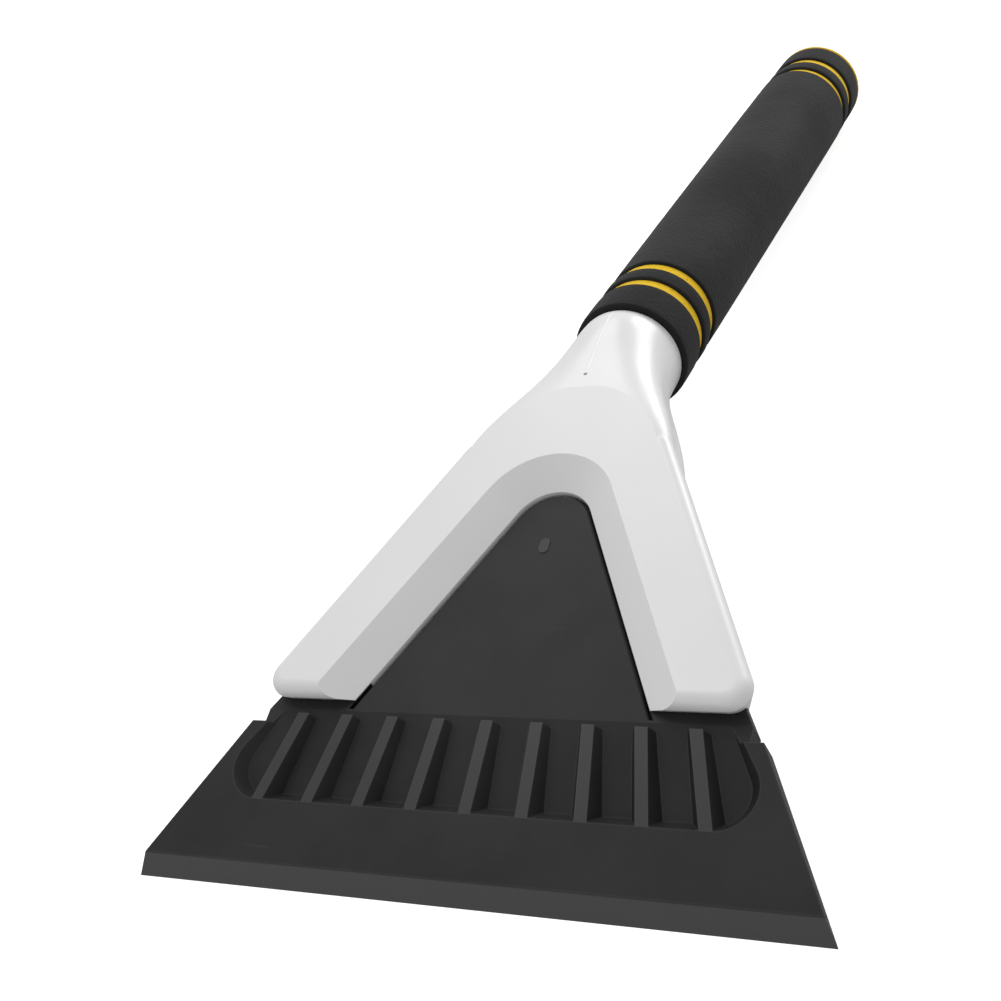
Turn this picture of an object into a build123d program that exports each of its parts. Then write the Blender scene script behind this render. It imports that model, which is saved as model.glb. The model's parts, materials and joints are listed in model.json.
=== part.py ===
from build123d import *
import os
from math import atan2, copysign, cos, degrees, pi, radians, sin, tan

# Hand ice scraper: a black toothed blade clamped in a white A-shaped head, with a bent-back foam
# handle. Millimetres. The tool stands as it rests on a table, toothed face up, on its cutting edge
# and on the far end of the grip. Origin: middle of the cutting edge. +X across the blade, +Y
# towards the handle, +Z up.

# Blade, measured in the blade's own plane: across, along towards the handle, up from its back.
EDGE_HALF = 65.0
SHOULDER_HALF = 49.6
SHOULDER_Y = 30.2
BEVEL_RUN = 3.4
BEVEL_RISE = 3.2
SHOULDER_Z = 4.6
TONGUE_Z = 4.0
TONGUE_ROUND = 0.6
UPPER_HALF = 47.2
UPPER_TOP_HALF = 43.8
UPPER_TOP_Y = 39.0
UPPER_BEND_Y = 33.0
FLANGE_Z = 2.4
FLANGE_REACH = 9.0
FLANGE_STEP = 0.1
TONGUE_GAP = 0.5
GROOVE_LOW_Y = 33.6

# Scoop and its fan of ribs.
SCOOP_LOW_Y = 15.0
SCOOP_HIGH_Y = 33.2
SCOOP_HALF_HIGH = 38.6
SCOOP_HALF_LOW = 56.0
SCOOP_CORNER = 6.5
SCOOP_WALL_SLOPE = 42.0
FLOOR_LOW_Z = 1.2
FLOOR_RAMP_RUN = 1.4
RIB_COUNT = 9
RIB_WIDTH = 2.3
RIB_PITCH_HIGH = 9.55
RIB_PITCH_LOW = 10.7
RIB_HIGH_Y = 31.7
RIB_LOW_Y = 14.9
RIB_HIGH_Z = 5.4
RIB_DRAFT = 30.0
RIB_ROOT = 3.0
GATE_Y = 69.0
GATE_LENGTH = 3.2
GATE_WIDTH = 2.0
GATE_HEIGHT = 0.15

# Head: the white body around the blade's tongue.
FACE_Z = 8.6
WIDEST_Z = 6.0
BACK_Z = -2.6
SIDE_DRAFT = 24.0
EDGE_ROUND = 2.4
ARM_END_Y = 34.5
ARM_HALF = 49.3
HEAD_TOP_Y = 92.0
HEAD_TOP_HALF = 20.6
ARM_CORNER = 4.0
OPENING_Z = 4.3
OPENING_VERTEX_Y = 91.0
OPENING_HALF_ANGLE = 27.5
OPENING_ROUND = 8.5
CHAMFER_WIDTH = 5.8
COVER_MARGIN = 2.2
COVER_THICK = 2.6

# Handle axis, bent back from the blade's plane, and its turned pieces.
BEND = 20.8
AXIS_Y = 106.1
GRIP_START = 18.8
GRIP_LENGTH = 159.0
GRIP_R_FRONT = 12.0
GRIP_R_REAR = 11.4
NECK_R = 11.0
GROOVE_DEPTH = 0.7
TUBE_R = 7.5
TUBE_WALL = 1.3
TUBE_START = 6.0
SOCKET_CLEARANCE = 0.05
GROOVE_WIDTH = 2.9
GROOVE_NEAR = 11.0
GROOVE_FAR = 18.6
BAND_ROUND = 0.5
CORE_INSET = 1.0
CORE_LIP = 1.2
PLUG_R = 9.6
PLUG_HEAD = 1.6
PLUG_DEPTH = 14.0
PLUG_BEVEL = 0.6

# Screws.
SCREW_R = 1.4
SCREW_HEAD_R = 2.8
SCREW_HEAD_H = 1.6
SCREW_TIP_Z = 6.4
SCREW_CLEARANCE = 0.05
RECESS_SPAN = 2.8
RECESS_WIDTH = 0.7
RECESS_DEPTH = 0.8
SCREW_TIP_TAPER = 30.0
SCREW_SPOTS = [(31.5, 44.0), (-31.5, 44.0), (18.6, 70.0), (-18.6, 70.0), (0.0, 86.0)]
TUBE_SCREW_S = 12.0
TUBE_SCREW_LENGTH = 7.0

# Clearance between pieces, depth to which joined shapes run into each other, and a cutter size.
FIT_GAP = 0.1
OVERLAP = 3.0
BIG = 200.0

# Sections of the neck, from the flat head to the round end: distance along the head, height,
# tilt, half width, half height, squareness. The last two lie on the handle's axis.
SECTION_STEPS = 24
NECK_SECTIONS = [
    (76.0, 3.4, 0.0, 24.4, 5.9, 6.0),
    (88.0, 3.3, 2.0, 22.3, 6.3, 4.6),
    (97.5, 2.3, 7.0, 18.6, 7.1, 3.4),
    (108.5, -1.2, 15.0, 13.6, 9.0, 2.5),
]
NECK_ROUND_S = 12.0
NECK_ROUND_R = 11.4

# Tiny pin hole on top of the neck.
PIN_Y = 107.0
PIN_R = 0.4
PIN_FLOOR_Z = 7.2

# The tilt at rest comes from the line between the cutting edge and the grip's lowest point.
GRIP_END = GRIP_START + GRIP_LENGTH
LOW_REACH = AXIS_Y + GRIP_END * cos(radians(BEND)) - GRIP_R_REAR * sin(radians(BEND))
LOW_DROP = GRIP_END * sin(radians(BEND)) + GRIP_R_REAR * cos(radians(BEND))
REST_TILT = degrees(atan2(LOW_DROP, LOW_REACH))

HEAD = Plane(
    origin=(0, 0, 0),
    x_dir=(1, 0, 0),
    z_dir=(0, -sin(radians(REST_TILT)), cos(radians(REST_TILT))),
)
SIDE = Plane(origin=(0, 0, 0), x_dir=HEAD.y_dir, z_dir=(1, 0, 0))
HEAD_UP = Axis((0, 0, 0), HEAD.z_dir)
UNDERSIDE = Plane(
    origin=HEAD.offset(WIDEST_Z).origin, x_dir=(-1, 0, 0), z_dir=-HEAD.z_dir
)
SLOPE = radians(REST_TILT - BEND)
GRIP = Plane(
    origin=HEAD.from_local_coords((0, AXIS_Y, 0)),
    x_dir=(1, 0, 0),
    z_dir=(0, cos(SLOPE), sin(SLOPE)),
)
TURNING = Plane(origin=GRIP.origin, x_dir=GRIP.z_dir, z_dir=(1, 0, 0))
GRIP_AXIS = Axis(GRIP.origin, GRIP.z_dir)
TUBE_SCREW_PLANE = Plane(
    origin=GRIP.from_local_coords((0, NECK_ROUND_R, TUBE_SCREW_S)),
    x_dir=(1, 0, 0),
    z_dir=-GRIP.y_dir,
)
COVER_INSET = (WIDEST_Z - BACK_Z) * tan(radians(SIDE_DRAFT)) + COVER_MARGIN


def face_z(y):
    """Height of the blade's lower face, which thickens from the bevel to the shoulder."""
    return BEVEL_RISE + (SHOULDER_Z - BEVEL_RISE) * (y - BEVEL_RUN) / (SHOULDER_Y - BEVEL_RUN)


def grip_radius(s):
    """Outer radius of the foam at a distance along the handle axis."""
    return GRIP_R_FRONT + (GRIP_R_REAR - GRIP_R_FRONT) * (s - GRIP_START) / GRIP_LENGTH


def core_radius(s):
    """Radius of the yellow layer under the black one."""
    return grip_radius(s) - GROOVE_DEPTH


def opening_outline(grow, low_y):
    """Rounded triangle of the head's opening, grown outwards, open end at low_y."""
    angle = radians(OPENING_HALF_ANGLE)
    radius = OPENING_ROUND + grow
    centre_y = OPENING_VERTEX_Y - OPENING_ROUND / sin(angle)
    tangent = (radius * cos(angle), centre_y + radius * sin(angle))
    foot = (tangent[0] + (tangent[1] - low_y) * tan(angle), low_y)
    Polyline(
        (-tangent[0], tangent[1]),
        (-foot[0], foot[1]),
        (foot[0], foot[1]),
        (tangent[0], tangent[1]),
    )
    ThreePointArc(
        (tangent[0], tangent[1]), (0, centre_y + radius), (-tangent[0], tangent[1])
    )


def upper_outline(grow):
    """Blade's upper region, which tapers in where it slips under the arms' ends."""
    with BuildLine() as corners:
        Polyline(
            (-UPPER_HALF - grow, SHOULDER_Y - OVERLAP),
            (-UPPER_HALF - grow, UPPER_BEND_Y),
            (-UPPER_TOP_HALF - grow, UPPER_TOP_Y + grow),
            (UPPER_TOP_HALF + grow, UPPER_TOP_Y + grow),
            (UPPER_HALF + grow, UPPER_BEND_Y),
            (UPPER_HALF + grow, SHOULDER_Y - OVERLAP),
            close=True,
        )
    make_face(corners.edges())


def turned(points):
    """Closed turning profile through (distance along the axis, radius) points."""
    with BuildLine() as profile:
        Polyline(*points, close=True)
    return make_face(profile.edges())


def superellipse(half_width, half_height, squareness):
    """Closed curve between an ellipse (squareness 2) and a rounded rectangle (higher)."""
    points = []
    for step in range(SECTION_STEPS):
        angle = 2 * pi * step / SECTION_STEPS
        across = abs(cos(angle)) ** (2 / squareness)
        up = abs(sin(angle)) ** (2 / squareness)
        points.append(
            (copysign(half_width * across, cos(angle)), copysign(half_height * up, sin(angle)))
        )
    with BuildLine() as curve:
        Spline(*points, periodic=True)
    make_face(curve.edges())


def head_outline(inset):
    """The head seen from the front: an A shape without its opening, inset all round."""
    with BuildLine() as corners:
        Polyline(
            (-ARM_HALF, ARM_END_Y),
            (ARM_HALF, ARM_END_Y),
            (HEAD_TOP_HALF, HEAD_TOP_Y),
            (-HEAD_TOP_HALF, HEAD_TOP_Y),
            close=True,
        )
    face = make_face(corners.edges())
    fillet(face.vertices(), ARM_CORNER)
    if inset:
        offset(amount=-inset, mode=Mode.REPLACE)


def screw(spot, length):
    """Screw along a plane's normal, with the outside of its head on the plane."""
    with BuildSketch(spot) as head:
        Circle(SCREW_HEAD_R)
    extrude(head.sketch, amount=SCREW_HEAD_H)
    with BuildSketch(spot) as shank:
        Circle(SCREW_R)
    extrude(shank.sketch, amount=length - SCREW_R)
    with BuildSketch(spot.offset(length - SCREW_R)) as tip:
        Circle(SCREW_R)
    extrude(tip.sketch, amount=SCREW_R, taper=SCREW_TIP_TAPER)
    with BuildSketch(spot) as recess:
        Rectangle(RECESS_SPAN, RECESS_WIDTH)
        Rectangle(RECESS_WIDTH, RECESS_SPAN)
    extrude(recess.sketch, amount=RECESS_DEPTH, mode=Mode.SUBTRACT)


# Scoop cutter: floor profile across the blade, limited by a sloping-walled outline.
with BuildPart() as scoop:
    with BuildSketch(SIDE):
        with BuildLine():
            Polyline(
                (SCOOP_LOW_Y, face_z(SCOOP_LOW_Y)),
                (SCOOP_LOW_Y + FLOOR_RAMP_RUN, FLOOR_LOW_Z),
                (SCOOP_HIGH_Y, TONGUE_Z),
                (SCOOP_HIGH_Y, FACE_Z),
                (SCOOP_LOW_Y, FACE_Z),
                close=True,
            )
        make_face()
    extrude(amount=EDGE_HALF, both=True)
    with BuildSketch(HEAD.offset(FLOOR_LOW_Z)):
        with BuildLine():
            Polyline(
                (-SCOOP_HALF_HIGH, SCOOP_HIGH_Y + SCOOP_CORNER),
                (-SCOOP_HALF_LOW, SCOOP_LOW_Y),
                (SCOOP_HALF_LOW, SCOOP_LOW_Y),
                (SCOOP_HALF_HIGH, SCOOP_HIGH_Y + SCOOP_CORNER),
                close=True,
            )
        outline = make_face()
        fillet(outline.vertices().sort_by(Axis.Y)[:2], SCOOP_CORNER)
        offset(amount=-(face_z(SCOOP_LOW_Y) - FLOOR_LOW_Z) * tan(radians(SCOOP_WALL_SLOPE)))
    extrude(amount=FACE_Z, taper=-SCOOP_WALL_SLOPE, mode=Mode.INTERSECT)

# Fan of ribs, with level tops at their high ends that slope down to the blade's face.
with BuildPart() as ribs:
    spread = RIB_WIDTH / 2 + RIB_ROOT * tan(radians(RIB_DRAFT))
    for index in range(RIB_COUNT):
        place = index - (RIB_COUNT - 1) / 2
        ends = (
            (place * RIB_PITCH_LOW, RIB_LOW_Y, face_z(RIB_LOW_Y)),
            (place * RIB_PITCH_HIGH, RIB_HIGH_Y, RIB_HIGH_Z),
        )
        for end in ends:
            section = Plane(
                origin=HEAD.from_local_coords(end), x_dir=(-1, 0, 0), z_dir=HEAD.y_dir
            )
            with BuildSketch(section):
                with BuildLine():
                    Polyline(
                        (-RIB_WIDTH / 2, 0),
                        (RIB_WIDTH / 2, 0),
                        (spread, -RIB_ROOT),
                        (-spread, -RIB_ROOT),
                        close=True,
                    )
                make_face()
        loft(ruled=True)
    with BuildSketch(HEAD.offset(FLANGE_STEP)):
        with Locations((0, RIB_HIGH_Y)):
            Rectangle(BIG, BIG)
    extrude(amount=BIG, mode=Mode.INTERSECT)

# Raised tongue that fills the head's opening, with a rounded rim.
with BuildPart() as tongue:
    with BuildSketch(HEAD):
        with BuildLine():
            opening_outline(-TONGUE_GAP, SHOULDER_Y - OVERLAP)
        make_face()
    extrude(amount=TONGUE_Z)
    fillet(tongue.faces().sort_by(HEAD_UP)[-1].edges(), TONGUE_ROUND)

# Blade: wedge with a bevel, scoop, ribs, tongue, and a thin flange gripped inside the head.
with BuildPart() as blade:
    with BuildSketch(SIDE):
        with BuildLine():
            Polyline(
                (0, 0),
                (BEVEL_RUN, BEVEL_RISE),
                (SHOULDER_Y, SHOULDER_Z),
                (SHOULDER_Y, 0),
                close=True,
            )
        make_face()
    extrude(amount=EDGE_HALF, both=True)
    with BuildSketch(HEAD):
        with BuildLine():
            Polyline(
                (-EDGE_HALF, 0),
                (EDGE_HALF, 0),
                (SHOULDER_HALF, SHOULDER_Y),
                (-SHOULDER_HALF, SHOULDER_Y),
                close=True,
            )
        make_face()
    extrude(amount=BIG, mode=Mode.INTERSECT)
    with BuildSketch(HEAD):
        upper_outline(0)
    extrude(amount=TONGUE_Z)
    with BuildSketch(HEAD.offset(FLANGE_Z)):
        with BuildLine():
            opening_outline(FIT_GAP, GROOVE_LOW_Y)
        make_face()
    extrude(amount=BIG, mode=Mode.SUBTRACT)
    with BuildSketch(HEAD):
        with BuildLine():
            opening_outline(FLANGE_REACH, GROOVE_LOW_Y)
        make_face()
    extrude(amount=FLANGE_Z)
    add(tongue.part)
    add(scoop.part, mode=Mode.SUBTRACT)
    add(ribs.part)
    with BuildSketch(HEAD.offset(FLANGE_Z)):
        with Locations((0, GATE_Y)):
            SlotOverall(GATE_LENGTH, GATE_WIDTH, rotation=90)
    extrude(amount=TONGUE_Z - FLANGE_Z + GATE_HEIGHT)
    with BuildSketch(HEAD):
        with Locations(*SCREW_SPOTS):
            Circle(SCREW_R + 2 * SCREW_CLEARANCE)
    extrude(amount=TONGUE_Z, mode=Mode.SUBTRACT)
    with BuildSketch(HEAD):
        with Locations((0, UPPER_BEND_Y + BIG / 2)):
            Rectangle(BIG, BIG)
    extrude(amount=FLANGE_STEP, mode=Mode.SUBTRACT)

# White body: A-shaped head with a chamfered opening, running into a round neck.
with BuildPart() as body:
    with BuildSketch(HEAD.offset(WIDEST_Z)):
        head_outline(0)
    extrude(amount=FACE_Z - WIDEST_Z)
    fillet(body.faces().sort_by(HEAD_UP)[-1].edges(), EDGE_ROUND)
    with BuildSketch(UNDERSIDE):
        head_outline(0)
    extrude(amount=WIDEST_Z - BACK_Z, taper=SIDE_DRAFT)
    for y, z, tilt, half_width, half_height, squareness in NECK_SECTIONS:
        across = Plane(
            origin=HEAD.from_local_coords((0, y, z)), x_dir=(1, 0, 0), z_dir=HEAD.y_dir
        ).rotated((-tilt, 0, 0))
        with BuildSketch(across):
            superellipse(half_width, half_height, squareness)
    for s, radius in ((NECK_ROUND_S, NECK_ROUND_R), (GRIP_START, NECK_R)):
        with BuildSketch(GRIP.offset(s)):
            superellipse(radius, radius, 2.0)
    loft()
    with BuildSketch(HEAD.offset(FACE_Z)):
        with Locations((0, HEAD_TOP_Y)):
            Rectangle(BIG, BIG)
    extrude(amount=BIG, mode=Mode.SUBTRACT)
    with BuildSketch(HEAD.offset(PIN_FLOOR_Z)):
        with Locations((0, PIN_Y)):
            Circle(PIN_R)
    extrude(amount=FACE_Z, mode=Mode.SUBTRACT)
    open_y = ARM_END_Y - ARM_CORNER
    with BuildSketch(HEAD.offset(OPENING_Z)):
        with BuildLine():
            opening_outline(0, open_y)
        make_face()
    # The chamfer's cutter rises to twice its height, so that it clears the face.
    rise = FACE_Z - OPENING_Z
    with BuildSketch(HEAD.offset(OPENING_Z + 2 * rise)):
        with BuildLine():
            opening_outline(2 * CHAMFER_WIDTH, open_y)
        make_face()
    loft(ruled=True, mode=Mode.SUBTRACT)
    with BuildSketch(HEAD.offset(OPENING_Z)):
        with BuildLine():
            opening_outline(0, open_y)
        make_face()
    extrude(amount=-BIG, mode=Mode.SUBTRACT)
    with BuildSketch(HEAD.offset(FLANGE_Z + FIT_GAP)):
        with BuildLine():
            opening_outline(FLANGE_REACH + FIT_GAP, open_y)
        make_face()
    extrude(amount=-BIG, mode=Mode.SUBTRACT)
    with BuildSketch(HEAD.offset(TONGUE_Z + FIT_GAP)):
        upper_outline(FIT_GAP)
    extrude(amount=-TONGUE_Z - 2 * FIT_GAP, mode=Mode.SUBTRACT)
    with BuildSketch(HEAD.offset(BACK_Z + COVER_THICK)):
        head_outline(COVER_INSET - FIT_GAP)
    extrude(amount=-BIG, mode=Mode.SUBTRACT)
    with BuildSketch(HEAD.offset(SCREW_TIP_Z + FIT_GAP)):
        with Locations(*SCREW_SPOTS):
            Circle(SCREW_R + SCREW_CLEARANCE)
    extrude(amount=-BIG, mode=Mode.SUBTRACT)
    with BuildSketch(GRIP.offset(TUBE_START - FIT_GAP)):
        Circle(TUBE_R + SOCKET_CLEARANCE)
    extrude(amount=GRIP_START, mode=Mode.SUBTRACT)
    with BuildSketch(TUBE_SCREW_PLANE):
        Circle(SCREW_R + SCREW_CLEARANCE)
    extrude(amount=TUBE_SCREW_LENGTH, mode=Mode.SUBTRACT)
    with BuildSketch(TUBE_SCREW_PLANE.offset(SCREW_HEAD_H)):
        Circle(SCREW_HEAD_R + FIT_GAP)
    extrude(amount=-2 * SCREW_HEAD_H, mode=Mode.SUBTRACT)

# Back cover that holds the blade's flange in the body.
with BuildPart() as back_cover:
    with BuildSketch(HEAD.offset(BACK_Z)):
        head_outline(COVER_INSET)
    extrude(amount=COVER_THICK)
    with BuildSketch(HEAD.offset(BACK_Z)):
        with Locations(*SCREW_SPOTS):
            Circle(SCREW_R + SCREW_CLEARANCE)
    extrude(amount=COVER_THICK, mode=Mode.SUBTRACT)
    with BuildSketch(HEAD.offset(BACK_Z)):
        with Locations(*SCREW_SPOTS):
            Circle(SCREW_HEAD_R + FIT_GAP)
    extrude(amount=SCREW_HEAD_H, mode=Mode.SUBTRACT)

with BuildPart() as cover_screws:
    for x, y in SCREW_SPOTS:
        spot = Plane(
            origin=HEAD.from_local_coords((x, y, BACK_Z)), x_dir=(1, 0, 0), z_dir=HEAD.z_dir
        )
        screw(spot, SCREW_TIP_Z - BACK_Z)

with BuildPart() as tube_screw:
    screw(TUBE_SCREW_PLANE, TUBE_SCREW_LENGTH)

# Metal tube that carries the grip, held in the neck by one screw.
with BuildPart() as handle_tube:
    with BuildSketch(GRIP.offset(TUBE_START)):
        Circle(TUBE_R)
        Circle(TUBE_R - TUBE_WALL, mode=Mode.SUBTRACT)
    extrude(amount=GRIP_END - TUBE_START)
    with BuildSketch(TUBE_SCREW_PLANE):
        Circle(SCREW_R + SCREW_CLEARANCE)
    extrude(amount=TUBE_SCREW_LENGTH, mode=Mode.SUBTRACT)

# Yellow foam layer: shows at the bottoms of the grooves and as a lip at the far end.
with BuildPart() as foam_core:
    with BuildSketch(TURNING):
        core_start = GRIP_START + CORE_INSET
        lip_start = GRIP_END - CORE_LIP
        turned(
            [
                (core_start, TUBE_R),
                (core_start, core_radius(core_start)),
                (lip_start, core_radius(lip_start)),
                (lip_start, GRIP_R_REAR),
                (GRIP_END, GRIP_R_REAR),
                (GRIP_END, TUBE_R),
            ]
        )
    revolve(axis=GRIP_AXIS)

with BuildPart() as end_plug:
    with BuildSketch(TURNING):
        stem_r = TUBE_R - TUBE_WALL - SOCKET_CLEARANCE
        turned(
            [
                (GRIP_END - PLUG_DEPTH, 0),
                (GRIP_END - PLUG_DEPTH, stem_r - PLUG_BEVEL),
                (GRIP_END - PLUG_DEPTH + PLUG_BEVEL, stem_r),
                (GRIP_END, stem_r),
                (GRIP_END, PLUG_R),
                (GRIP_END + PLUG_HEAD - PLUG_BEVEL, PLUG_R),
                (GRIP_END + PLUG_HEAD, PLUG_R - PLUG_BEVEL),
                (GRIP_END + PLUG_HEAD, 0),
            ]
        )
    revolve(axis=GRIP_AXIS)

# Black foam layer, cut right through by the grooves into five bands.
near_end = GROOVE_NEAR - GROOVE_WIDTH / 2
ridge_start = GROOVE_NEAR + GROOVE_WIDTH / 2
ridge_end = GROOVE_FAR - GROOVE_WIDTH / 2
sleeve_start = GROOVE_FAR + GROOVE_WIDTH / 2
bands = {
    "foam_collar_front": (FIT_GAP, near_end),
    "foam_ridge_front": (ridge_start, ridge_end),
    "foam_sleeve": (sleeve_start, GRIP_LENGTH - sleeve_start),
    "foam_ridge_rear": (GRIP_LENGTH - ridge_end, GRIP_LENGTH - ridge_start),
    "foam_collar_rear": (GRIP_LENGTH - near_end, GRIP_LENGTH - CORE_LIP),
}
pieces = {
    "blade": blade,
    "body": body,
    "back_cover": back_cover,
    "cover_screws": cover_screws,
    "tube_screw": tube_screw,
    "handle_tube": handle_tube,
    "foam_core": foam_core,
    "end_plug": end_plug,
}
for name, (start, end) in bands.items():
    first, last = GRIP_START + start, GRIP_START + end
    outer = [(first, grip_radius(first)), (last, grip_radius(last))]
    inner = [(last, core_radius(last)), (first, core_radius(first))]
    if start == FIT_GAP:
        # The first band also covers the front end of the yellow layer.
        inner = [
            (last, core_radius(last)),
            (core_start, core_radius(core_start)),
            (core_start, TUBE_R),
            (first, TUBE_R),
        ]
    with BuildPart() as band:
        with BuildSketch(TURNING):
            profile = turned(outer + inner)
            fillet(profile.vertices().sort_by(Axis.Y)[-2:], BAND_ROUND)
        revolve(axis=GRIP_AXIS)
    pieces[name] = band

os.makedirs("parts", exist_ok=True)
for name, piece in pieces.items():
    piece.part.label = name
    export_step(piece.part, f"parts/{name}.step")
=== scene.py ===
import json
from collections import namedtuple
from math import cos, pi, radians, sin

import bpy
import numpy as np
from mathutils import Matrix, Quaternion, Vector


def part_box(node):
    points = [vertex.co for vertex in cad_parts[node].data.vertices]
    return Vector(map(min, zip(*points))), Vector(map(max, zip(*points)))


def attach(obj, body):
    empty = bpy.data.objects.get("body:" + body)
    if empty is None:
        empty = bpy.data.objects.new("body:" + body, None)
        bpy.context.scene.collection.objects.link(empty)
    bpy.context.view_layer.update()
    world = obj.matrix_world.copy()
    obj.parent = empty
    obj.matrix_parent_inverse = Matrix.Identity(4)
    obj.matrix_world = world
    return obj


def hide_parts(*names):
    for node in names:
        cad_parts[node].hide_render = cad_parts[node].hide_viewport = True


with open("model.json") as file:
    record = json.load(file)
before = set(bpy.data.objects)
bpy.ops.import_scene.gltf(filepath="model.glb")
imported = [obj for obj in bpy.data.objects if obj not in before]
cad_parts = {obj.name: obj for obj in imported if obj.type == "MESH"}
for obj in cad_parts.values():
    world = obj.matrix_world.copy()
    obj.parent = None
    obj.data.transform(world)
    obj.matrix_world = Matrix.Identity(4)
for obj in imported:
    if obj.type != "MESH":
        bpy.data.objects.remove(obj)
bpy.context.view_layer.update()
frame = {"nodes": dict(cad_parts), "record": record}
NODES = frame["nodes"]
SLOTS = {entry["node"]: entry["material_slot"] for entry in frame["record"]["subparts"]}
MM = 0.001

# Camera: the point it looks at, its distance, its angles in degrees, and its lens in millimetres.
TARGET = Vector((0.0, 57.8, 38.8)) * MM
DISTANCE = 281.0 * MM
AZIMUTH = 34.6
ELEVATION = 32.1
ROLL = -22.1
LENS = 57.8
SENSOR = 36.0
CLIP_START = 10.0 * MM

# Foam bands: their depth, rounded shoulders, a slight crown, and the unevenness of cut foam.
SHOULDER = 0.6 * MM
CROWN = 0.08 * MM
BAND_DEPTH = 0.68 * MM
UNEVEN = 0.05 * MM
UNEVEN_SIZE = 5.0 * MM

# Foam core: its rounded ends, and its play under the last band.
CORE_ROUND = 0.5 * MM
CORE_PLAY = 0.02 * MM

# Turned meshes: faces round the axis, length of a face along it, the fewest faces along a band,
# and the faces in a quarter round.
RING_STEPS = 192
STEP_LENGTH = 0.8 * MM
FEWEST_STEPS = 4
ARC_STEPS = 6

# The blade's plane comes from the record's flat mount: its axis points out of the blade's back.
SIDEWAYS = Vector((1, 0, 0))
BLADE_UP = -Vector(frame["record"]["mounts"][0]["axis"])
BLADE_ALONG = BLADE_UP.cross(SIDEWAYS)

# Rib tops: they slope against the blade, and are found by the cosine of the angle to their normal.
RIB_SLOPE = radians(5.44)
RIB_TOP = BLADE_UP * cos(RIB_SLOPE) - BLADE_ALONG * sin(RIB_SLOPE)
RIB_TOP_FROM = 0.9994
RIB_TOP_FULL = 0.9998
# Painted highlight: how far the rib tops are painted lighter; their polish is the lower roughness.
RIB_TOP_HIGHLIGHT = 0.6
RIB_TOP_POLISH = 0.18

# Cutting bevel: where it ends, measured up the blade from the edge, and how much painted light
# lightens it.
BEVEL_TOP = 3.4 * MM
BEVEL_FADE = 0.3 * MM
BEVEL_LIGHT_SHARE = 0.9

# Gate pad: above the tongue's face, in the tongue's upper part, with a painted highlight on it.
TONGUE_TOP = 4.04 * MM
GATE_RISE = 0.04 * MM
GATE_FROM = 60.0 * MM
GATE_FADE = 1.0 * MM
GATE_HIGHLIGHT = 0.8

# Parting line on the neck: half its width, the solid share of it, where it starts, and its painted
# highlight.
LINE_HALF = 0.3 * MM
LINE_SOLID = 0.4
LINE_FROM = 101.5 * MM
LINE_FADE = 2.0 * MM
LINE_HIGHLIGHT = 0.8

# Worn edges: how wide they are, and the cosines between which an edge counts as one.
EDGE_WIDTH = 0.5 * MM
EDGE_SAMPLES = 4
EDGE_FROM = 0.995
EDGE_FULL = 0.9

# How far mottling, scratches, tarnish, and foam pores with their painted shade shift the base
# colour.
MOTTLE_SHARE = 0.05
SCRATCH_WEAR = 0.12
TARNISH_SHARE = 0.4
PORE_TINT = 0.15
PORE_SHADE = 0.45

# Foam skin: its small cells, the scale of its big cells and pores against them, and the share
# of these two in the height.
CELLS_PER_METRE = 1700
BIG_CELL_SCALE = 0.4
PORE_SCALE = 0.8
BIG_CELL_SHARE = 0.8
PORE_SHARE = 0.5

# Floor and light: the floor's size in metres, its own glow to the camera, the light from all
# round, and how bright the camera sees the backdrop.
FLOOR_SIZE = 6.0
FLOOR_GLOW = 0.8
SOFT_LIGHT = 0.62
BACKDROP = 1.0


def srgb(red, green, blue):
    """Linear colour from 0-255 display values, by the sRGB standard's curve."""
    colour = []
    for value in (red, green, blue):
        share = value / 255
        if share <= 0.04045:
            colour.append(share / 12.92)
        else:
            colour.append(((share + 0.055) / 1.055) ** 2.4)
    return (*colour, 1.0)


BLACK = srgb(25, 25, 26)
BLACK_WORN = srgb(96, 96, 96)
# Painted highlight: lighter grey painted on the rib tops and the gate pad.
PAINTED_HIGHLIGHT_GREY = srgb(68, 68, 68)
# Painted light: lighter grey painted on the cutting bevel, for the light it catches from the
# front.
BEVEL_PAINTED_LIGHT = srgb(74, 74, 74)
WHITE = srgb(232, 232, 232)
WHITE_WORN = srgb(200, 200, 200)
PURE_WHITE = (1.0, 1.0, 1.0, 1.0)
STEEL = (0.55, 0.55, 0.56, 1.0)
ALUMINIUM = (0.72, 0.72, 0.73, 1.0)
TARNISH = (0.1, 0.1, 0.1, 1.0)
FOAM_BLACK = srgb(29, 29, 30)
# Painted shade: the foams' pore colours below stand for shade in the pore hollows; they also tint
# random patches.
FOAM_BLACK_PORE_SHADE = srgb(16, 16, 16)
FOAM_YELLOW = srgb(240, 198, 30)
FOAM_YELLOW_PORE_SHADE = srgb(170, 118, 8)
FLOOR_LIGHT = srgb(205, 205, 205)
FLOOR_DARK = srgb(200, 200, 200)


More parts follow.
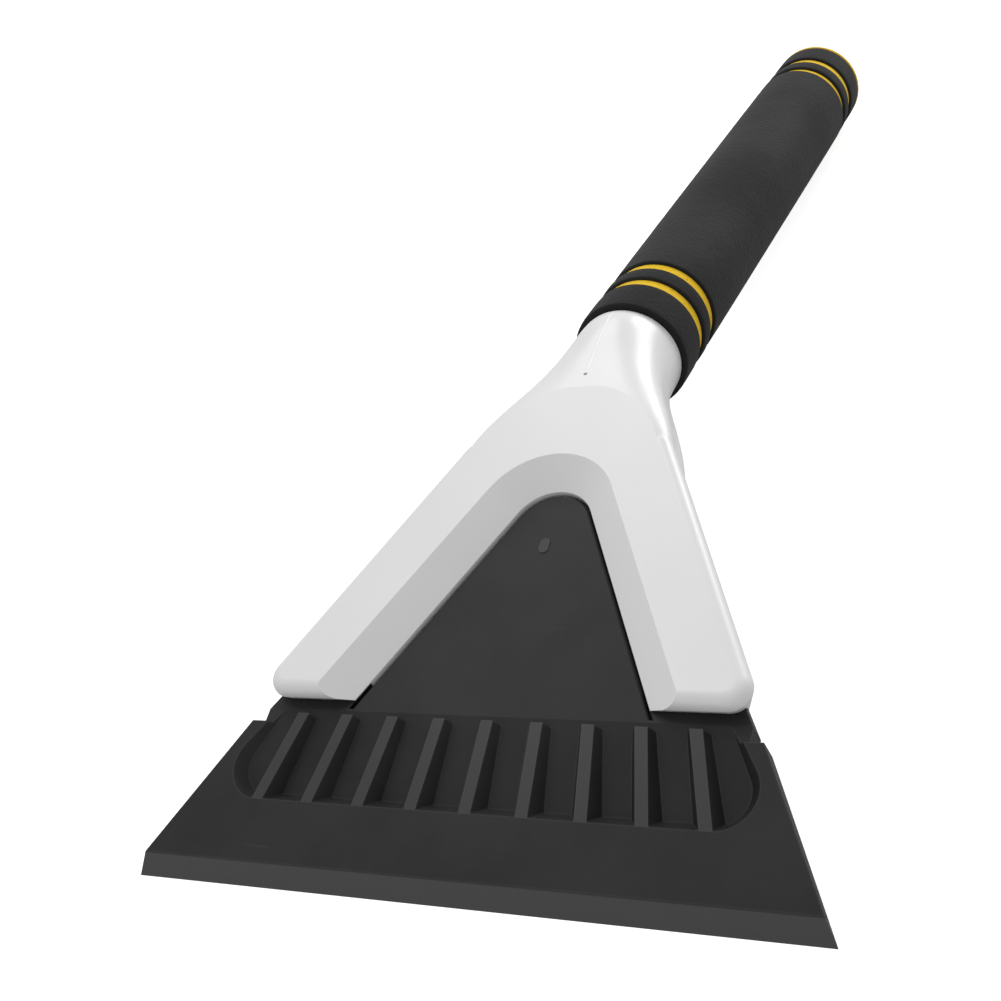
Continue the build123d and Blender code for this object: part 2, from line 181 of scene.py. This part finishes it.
class Shader:
    """Small helper around one material's node tree."""

    def __init__(self, name):
        self.material = bpy.data.materials.new(name)
        self.material.use_nodes = True
        self.nodes = self.material.node_tree.nodes
        self.links = self.material.node_tree.links
        self.bsdf = self.nodes["Principled BSDF"]
        self.place = self.nodes.new("ShaderNodeTexCoord").outputs["Object"]

    def put(self, socket, value):
        """Link a socket to an output, or give it a plain value."""
        if isinstance(value, bpy.types.NodeSocket):
            self.links.new(value, socket)
        else:
            socket.default_value = value

    def noise(self, scale, detail=4.0, roughness=0.55, stretch=None):
        """Cloudy noise, 0 to 1, with features about 1/scale metres across."""
        node = self.nodes.new("ShaderNodeTexNoise")
        place = self.place
        if stretch:
            mapping = self.nodes.new("ShaderNodeMapping")
            mapping.inputs["Scale"].default_value = stretch
            self.links.new(place, mapping.inputs["Vector"])
            place = mapping.outputs["Vector"]
        self.links.new(place, node.inputs["Vector"])
        node.inputs["Scale"].default_value = scale
        node.inputs["Detail"].default_value = detail
        node.inputs["Roughness"].default_value = roughness
        return node.outputs["Fac"]

    def cells(self, scale):
        """Distance to the middle of the nearest cell."""
        node = self.nodes.new("ShaderNodeTexVoronoi")
        self.links.new(self.place, node.inputs["Vector"])
        node.inputs["Scale"].default_value = scale
        return node.outputs["Distance"]

    def ramp(self, value, low, high, to_low=0.0, to_high=1.0):
        """Smooth step from to_low at low to to_high at high."""
        node = self.nodes.new("ShaderNodeMapRange")
        node.interpolation_type = "SMOOTHSTEP"
        self.put(node.inputs["Value"], value)
        node.inputs["From Min"].default_value = low
        node.inputs["From Max"].default_value = high
        node.inputs["To Min"].default_value = to_low
        node.inputs["To Max"].default_value = to_high
        return node.outputs["Result"]

    def math(self, operation, a, b=0.0):
        node = self.nodes.new("ShaderNodeMath")
        node.operation = operation
        self.put(node.inputs[0], a)
        self.put(node.inputs[1], b)
        return node.outputs[0]

    def dot(self, vector, direction):
        node = self.nodes.new("ShaderNodeVectorMath")
        node.operation = "DOT_PRODUCT"
        self.put(node.inputs[0], vector)
        self.put(node.inputs[1], direction)
        return node.outputs["Value"]

    def mix(self, factor, a, b):
        """Colour a where the factor is 0 and colour b where it is 1."""
        node = self.nodes.new("ShaderNodeMix")
        node.data_type = "RGBA"
        self.put(node.inputs["Factor"], factor)
        self.put(node.inputs["A"], a)
        self.put(node.inputs["B"], b)
        return node.outputs["Result"]

    def edges(self):
        """1 on convex and concave edges, 0 on open surfaces."""
        bevel = self.nodes.new("ShaderNodeBevel")
        bevel.samples = EDGE_SAMPLES
        bevel.inputs["Radius"].default_value = EDGE_WIDTH
        flat = self.nodes.new("ShaderNodeNewGeometry")
        bend = self.dot(bevel.outputs["Normal"], flat.outputs["Normal"])
        return self.ramp(bend, EDGE_FROM, EDGE_FULL)

    def bump(self, height, distance, strength, normal=None):
        """Bumped normal, on top of an earlier one if there is one."""
        node = self.nodes.new("ShaderNodeBump")
        node.inputs["Distance"].default_value = distance
        node.inputs["Strength"].default_value = strength
        self.links.new(height, node.inputs["Height"])
        if normal is not None:
            self.links.new(normal, node.inputs["Normal"])
        return node.outputs["Normal"]

    def finish(self, colour, roughness, normal, specular=0.5, metallic=0.0):
        """Connect the finished channels and return the material."""
        self.put(self.bsdf.inputs["Base Color"], colour)
        self.put(self.bsdf.inputs["Roughness"], roughness)
        self.links.new(normal, self.bsdf.inputs["Normal"])
        self.bsdf.inputs["Specular IOR Level"].default_value = specular
        self.bsdf.inputs["Metallic"].default_value = metallic
        return self.material


def part_way(colour, other, share):
    """Colour moved part of the way towards another."""
    return tuple(a + (b - a) * share for a, b in zip(colour, other))


def moulded_plastic(name, colour, worn, roughness, grain, wear=0.35, specular=0.5, extra=None):
    """Injection-moulded plastic: faint mottling, moulded grain, worn edges, fine scratches."""
    shader = Shader(name)
    mottle = shader.ramp(shader.noise(scale=60, detail=5), low=0.35, high=0.65)
    base = shader.mix(mottle, colour, part_way(colour, worn, MOTTLE_SHARE))
    base = shader.mix(shader.math("MULTIPLY", shader.edges(), wear), base, worn)

    streaks = shader.noise(scale=90, detail=6, roughness=0.7, stretch=(0.25, 6.0, 1.0))
    scratches = shader.ramp(streaks, low=0.68, high=0.74)
    base = shader.mix(shader.math("MULTIPLY", scratches, SCRATCH_WEAR), base, worn)

    cloud = shader.noise(scale=14, detail=3)
    smoother, rougher = roughness - 0.015, roughness + 0.02
    rough = shader.ramp(cloud, low=0.3, high=0.7, to_low=smoother, to_high=rougher)

    moulded_grain = shader.noise(scale=2600, detail=2)
    normal = shader.bump(moulded_grain, distance=grain, strength=0.35)
    waves = shader.noise(scale=25, detail=2)
    normal = shader.bump(waves, distance=0.05 * MM, strength=0.25, normal=normal)
    if extra:
        base, rough, normal = extra(shader, base, rough, normal)
    return shader.finish(base, rough, normal, specular)


def blade_polish_and_painted_light(shader, base, rough, normal):
    """Rib tops polished by ice and painted lighter as a painted highlight, painted light on the
    cutting bevel, and a painted highlight on the gate pad.
    """
    facing = shader.nodes.new("ShaderNodeNewGeometry").outputs["Normal"]
    tops = shader.ramp(shader.dot(facing, RIB_TOP), RIB_TOP_FROM, RIB_TOP_FULL)
    # Painted highlight: rib tops painted lighter; their polish is the lowered roughness below.
    base = shader.mix(shader.math("MULTIPLY", tops, RIB_TOP_HIGHLIGHT), base, PAINTED_HIGHLIGHT_GREY)
    rough = shader.math("SUBTRACT", rough, shader.math("MULTIPLY", tops, RIB_TOP_POLISH))

    along = shader.dot(shader.place, BLADE_ALONG)
    bevel = shader.ramp(along, BEVEL_TOP, BEVEL_TOP - BEVEL_FADE)
    # Painted light: the cutting bevel is painted lighter.
    base = shader.mix(shader.math("MULTIPLY", bevel, BEVEL_LIGHT_SHARE), base, BEVEL_PAINTED_LIGHT)

    height = shader.dot(shader.place, BLADE_UP)
    raised = shader.ramp(height, TONGUE_TOP, TONGUE_TOP + GATE_RISE)
    upper = shader.ramp(along, GATE_FROM, GATE_FROM + GATE_FADE)
    pad = shader.math("MULTIPLY", raised, upper)
    # Painted highlight: the raised gate pad is painted lighter.
    base = shader.mix(shader.math("MULTIPLY", pad, GATE_HIGHLIGHT), base, PAINTED_HIGHLIGHT_GREY)
    return base, rough, normal


def mould_line(shader, base, rough, normal):
    """Fine raised parting line along the middle of the neck, painted whiter than the body as a
    painted highlight.
    """
    split = shader.nodes.new("ShaderNodeSeparateXYZ")
    shader.links.new(shader.place, split.inputs["Vector"])
    sideways = shader.math("ABSOLUTE", split.outputs["X"])
    near = shader.ramp(sideways, LINE_HALF, LINE_HALF * LINE_SOLID)
    on_neck = shader.ramp(split.outputs["Y"], LINE_FROM, LINE_FROM + LINE_FADE)
    line = shader.math("MULTIPLY", near, on_neck)
    # Painted highlight: the line is painted whiter than the body.
    base = shader.mix(shader.math("MULTIPLY", line, LINE_HIGHLIGHT), base, PURE_WHITE)
    return base, rough, shader.bump(line, distance=0.1 * MM, strength=0.6, normal=normal)


def metal(name, colour, roughness, stretch):
    """Bare metal with brushed streaks and tarnished patches."""
    shader = Shader(name)
    patches = shader.ramp(shader.noise(scale=45, detail=3), low=0.3, high=0.75)
    base = shader.mix(patches, colour, part_way(colour, TARNISH, TARNISH_SHARE))
    streaks = shader.noise(scale=300, detail=6, roughness=0.6, stretch=stretch)
    rougher = roughness + 0.2
    rough = shader.ramp(streaks, low=0.2, high=0.8, to_low=roughness, to_high=rougher)
    normal = shader.bump(streaks, distance=0.02 * MM, strength=0.3)
    return shader.finish(base, rough, normal, metallic=1.0)


def foam(name, colour, shaded_pore, sheen):
    """Closed-cell foam: a skin of small cells with pores darkened by painted shade, and a faint
    dusty sheen.
    """
    shader = Shader(name)
    small_cells = shader.cells(CELLS_PER_METRE)
    big_cells = shader.cells(CELLS_PER_METRE * BIG_CELL_SCALE)
    holes = shader.noise(scale=CELLS_PER_METRE * PORE_SCALE, detail=2)
    pores = shader.ramp(holes, low=0.62, high=0.72)
    cloud = shader.noise(scale=35, detail=4)

    patches = shader.ramp(cloud, low=0.3, high=0.7)
    base = shader.mix(patches, colour, part_way(colour, shaded_pore, PORE_TINT))
    # Painted shade: the pores, which are dents in the bump below, are painted darker.
    base = shader.mix(shader.math("MULTIPLY", pores, PORE_SHADE), base, shaded_pore)
    rough = shader.ramp(cloud, low=0.3, high=0.7, to_low=0.82, to_high=0.95)

    big_height = shader.math("MULTIPLY", big_cells, BIG_CELL_SHARE)
    pore_depth = shader.math("MULTIPLY", pores, PORE_SHARE)
    height = shader.math("ADD", small_cells, big_height)
    height = shader.math("SUBTRACT", height, pore_depth)
    normal = shader.bump(height, distance=0.12 * MM, strength=0.55)
    shader.bsdf.inputs["Sheen Weight"].default_value = sheen
    shader.bsdf.inputs["Sheen Roughness"].default_value = 0.4
    return shader.finish(base, rough, normal, specular=0.3)


MATERIALS = {
    "blade_black": moulded_plastic(
        "blade_black",
        BLACK,
        BLACK_WORN,
        roughness=0.52,
        grain=0.02 * MM,
        wear=0.25,
        specular=0.3,
        extra=blade_polish_and_painted_light,
    ),
    "body_white": moulded_plastic(
        "body_white",
        WHITE,
        WHITE_WORN,
        roughness=0.28,
        grain=0.004 * MM,
        wear=0.1,
        extra=mould_line,
    ),
    "cover_white": moulded_plastic(
        "cover_white", WHITE, WHITE_WORN, roughness=0.45, grain=0.015 * MM, wear=0.2
    ),
    "plug_black": moulded_plastic(
        "plug_black", BLACK, BLACK_WORN, roughness=0.5, grain=0.02 * MM
    ),
    "screw_steel": metal("screw_steel", STEEL, roughness=0.3, stretch=(1.0, 1.0, 1.0)),
    "tube_metal": metal("tube_metal", ALUMINIUM, roughness=0.28, stretch=(8.0, 0.3, 8.0)),
    "foam_black": foam("foam_black", FOAM_BLACK, FOAM_BLACK_PORE_SHADE, sheen=0.04),
    "foam_yellow": foam("foam_yellow", FOAM_YELLOW, FOAM_YELLOW_PORE_SHADE, sheen=0.1),
}

for node, piece in NODES.items():
    for holder in piece.material_slots:
        holder.material = MATERIALS[SLOTS[node]]


def middle(node):
    """Centre of a CAD node's box."""
    low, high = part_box(node)
    return (Vector(low) + Vector(high)) / 2


# The grip's axis runs through the centres of its two end bands.
GRIP_MIDDLE = middle("foam_sleeve")
GRIP_AXIS = (middle("foam_collar_rear") - middle("foam_collar_front")).normalized()
GRIP_UP = SIDEWAYS.cross(GRIP_AXIS)

Turned = namedtuple("Turned", "start end first_radius last_radius")


def turned(node):
    """Ends of a turned CAD node along the grip's axis, and the largest radius of each half."""
    count = len(NODES[node].data.vertices)
    flat = np.empty(count * 3, np.float32)
    NODES[node].data.vertices.foreach_get("co", flat)
    offset = flat.reshape(-1, 3) - np.array(GRIP_MIDDLE)
    along = offset @ np.array(GRIP_AXIS)
    radius = np.linalg.norm(offset - np.outer(along, np.array(GRIP_AXIS)), axis=1)
    start, end = along.min(), along.max()
    centre = (start + end) / 2
    return Turned(start, end, radius[along < centre].max(), radius[along > centre].max())


CORE = turned("foam_core")
REAR_BAND = turned("foam_collar_rear")
TUBE_RADIUS = turned("handle_tube").first_radius


def lathe(name, profile):
    """Mesh turned round the grip's axis from a closed profile of (distance, radius) points."""
    points, faces = [], []
    count = len(profile)
    for ring in range(RING_STEPS):
        angle = 2 * pi * ring / RING_STEPS
        outward = SIDEWAYS * cos(angle) + GRIP_UP * sin(angle)
        for along, radius in profile:
            points.append(GRIP_MIDDLE + GRIP_AXIS * along + outward * radius)
        for index in range(count):
            here = ring * count
            there = (ring + 1) % RING_STEPS * count
            after = (index + 1) % count
            faces.append((here + index, there + index, there + after, here + after))
    mesh = bpy.data.meshes.new(name)
    mesh.from_pydata(points, [], faces)
    mesh.update()
    mesh.shade_smooth()
    piece = bpy.data.objects.new(name, mesh)
    bpy.context.scene.collection.objects.link(piece)
    return piece


def roughen(piece):
    """Give a soft piece the slight unevenness of cut foam."""
    clouds = bpy.data.textures.new(piece.name + "_uneven", "CLOUDS")
    clouds.noise_scale = UNEVEN_SIZE
    displace = piece.modifiers.new("uneven", "DISPLACE")
    displace.texture = clouds
    displace.texture_coords = "GLOBAL"
    displace.strength = UNEVEN
    displace.mid_level = 0.5


def stand_in(piece, node):
    """Put a soft piece in the place of its CAD node, in that node's material."""
    piece.data.materials.append(MATERIALS[SLOTS[node]])
    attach(piece, "root")
    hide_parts(node)


def arc(centre_along, centre_radius, size, start_deg, end_deg):
    """Points on a quarter round of a profile."""
    points = []
    for step in range(ARC_STEPS + 1):
        angle = radians(start_deg + (end_deg - start_deg) * step / ARC_STEPS)
        points.append((centre_along + size * cos(angle), centre_radius + size * sin(angle)))
    return points


def foam_band(node, covers_core):
    """Soft band with rounded shoulders and a slight crown, in the place of its CAD solid."""
    start, end, first_radius, last_radius = turned(node)
    inner_first = first_radius - BAND_DEPTH
    inner_last = last_radius - BAND_DEPTH
    # The band that covers the core's end reaches down to the tube there.
    profile = [(start, TUBE_RADIUS if covers_core else inner_first)]
    profile += arc(start + SHOULDER, first_radius - SHOULDER, SHOULDER, 180, 90)
    length = end - start - 2 * SHOULDER
    steps = max(FEWEST_STEPS, int(length / STEP_LENGTH))
    for step in range(1, steps):
        share = step / steps
        # A half ellipse: full in the middle of the band and nothing at its shoulders.
        crown = CROWN * (4 * share * (1 - share)) ** 0.5
        radius = first_radius + (last_radius - first_radius) * share + crown
        profile.append((start + SHOULDER + length * share, radius))
    profile += arc(end - SHOULDER, last_radius - SHOULDER, SHOULDER, 90, 0)
    profile.append((end, inner_last))
    if covers_core:
        profile.append((CORE.start, inner_first))
        profile.append((CORE.start, TUBE_RADIUS))
    band = lathe(node + "_soft", profile)
    roughen(band)
    stand_in(band, node)


def foam_core():
    """Soft core, tapered under the bands, with its rounded lip at the far end."""
    last_radius = REAR_BAND.last_radius - BAND_DEPTH - CORE_PLAY
    first_arc = CORE.start + CORE_ROUND
    length = REAR_BAND.end - CORE.start - CORE_ROUND
    profile = [(CORE.start, TUBE_RADIUS)]
    profile += arc(first_arc, CORE.first_radius - CORE_ROUND, CORE_ROUND, 180, 90)
    steps = int((REAR_BAND.end - CORE.start) / STEP_LENGTH)
    for step in range(1, steps):
        share = step / steps
        radius = CORE.first_radius + (last_radius - CORE.first_radius) * share
        profile.append((first_arc + length * share, radius))
    profile.append((REAR_BAND.end, last_radius))
    profile.append((REAR_BAND.end, CORE.last_radius))
    profile += arc(CORE.end - CORE_ROUND, CORE.last_radius - CORE_ROUND, CORE_ROUND, 90, 0)
    profile.append((CORE.end, TUBE_RADIUS))
    stand_in(lathe("foam_core_soft", profile), "foam_core")


for band_name in ("collar_front", "ridge_front", "sleeve", "ridge_rear", "collar_rear"):
    foam_band("foam_" + band_name, covers_core=(band_name == "collar_front"))
foam_core()


def studio_floor():
    """Pale floor, which the camera sees nearly white, as on a light table."""
    shader = Shader("studio_floor")
    colour = shader.mix(shader.noise(scale=3), FLOOR_LIGHT, FLOOR_DARK)
    normal = shader.bump(shader.noise(scale=400), distance=0.02 * MM, strength=0.1)
    shader.finish(colour, roughness=0.8, normal=normal, specular=0.2)
    seen = shader.nodes.new("ShaderNodeLightPath").outputs["Is Camera Ray"]
    glow = shader.math("MULTIPLY", seen, FLOOR_GLOW)
    shader.put(shader.bsdf.inputs["Emission Strength"], glow)
    shader.bsdf.inputs["Emission Color"].default_value = PURE_WHITE
    bpy.ops.mesh.primitive_plane_add(size=FLOOR_SIZE)
    floor = bpy.context.object
    floor.name = "studio_floor"
    floor.data.materials.append(shader.material)


def area_light(name, position, size, power):
    """Soft square lamp aimed at the camera's target, in metres and watts."""
    data = bpy.data.lights.new(name, "AREA")
    data.shape = "SQUARE"
    data.size = size
    data.energy = power
    lamp = bpy.data.objects.new(name, data)
    lamp.location = position
    lamp.rotation_mode = "QUATERNION"
    lamp.rotation_quaternion = (TARGET - Vector(position)).to_track_quat("-Z", "Y")
    bpy.context.scene.collection.objects.link(lamp)


def studio_world():
    """Soft light from all round, which the camera sees as a brighter, white backdrop."""
    world = bpy.data.worlds.new("studio")
    world.use_nodes = True
    nodes, links = world.node_tree.nodes, world.node_tree.links
    background = nodes["Background"]
    background.inputs["Color"].default_value = PURE_WHITE
    path = nodes.new("ShaderNodeLightPath")
    strength = nodes.new("ShaderNodeMapRange")
    strength.inputs["To Min"].default_value = SOFT_LIGHT
    strength.inputs["To Max"].default_value = BACKDROP
    links.new(path.outputs["Is Camera Ray"], strength.inputs["Value"])
    links.new(strength.outputs["Result"], background.inputs["Strength"])
    bpy.context.scene.world = world
    bpy.context.scene.view_settings.view_transform = "Standard"


def photo_camera():
    """Camera at the photograph's viewing angle."""
    data = bpy.data.cameras.new("camera")
    data.lens = LENS
    data.sensor_width = SENSOR
    data.clip_start = CLIP_START
    camera = bpy.data.objects.new("camera", data)
    bpy.context.scene.collection.objects.link(camera)
    azimuth, elevation = radians(AZIMUTH), radians(ELEVATION)
    back = Vector(
        (sin(azimuth) * cos(elevation), -cos(azimuth) * cos(elevation), sin(elevation))
    )
    camera.location = TARGET + back * DISTANCE
    camera.rotation_mode = "QUATERNION"
    look = (-back).to_track_quat("-Z", "Y")
    camera.rotation_quaternion = look @ Quaternion((0, 0, 1), radians(ROLL))
    bpy.context.scene.camera = camera


studio_floor()
area_light("key", position=(-0.3, 0.62, 0.76), size=0.45, power=2.2)
area_light("back", position=(0.3, 1.1, 0.4), size=0.5, power=4.5)
area_light("front", position=(-0.5, -0.9, 0.2), size=0.5, power=0.6)
area_light("shine", position=(-0.44, 0.19, 0.9), size=0.15, power=0.6)
studio_world()
photo_camera()
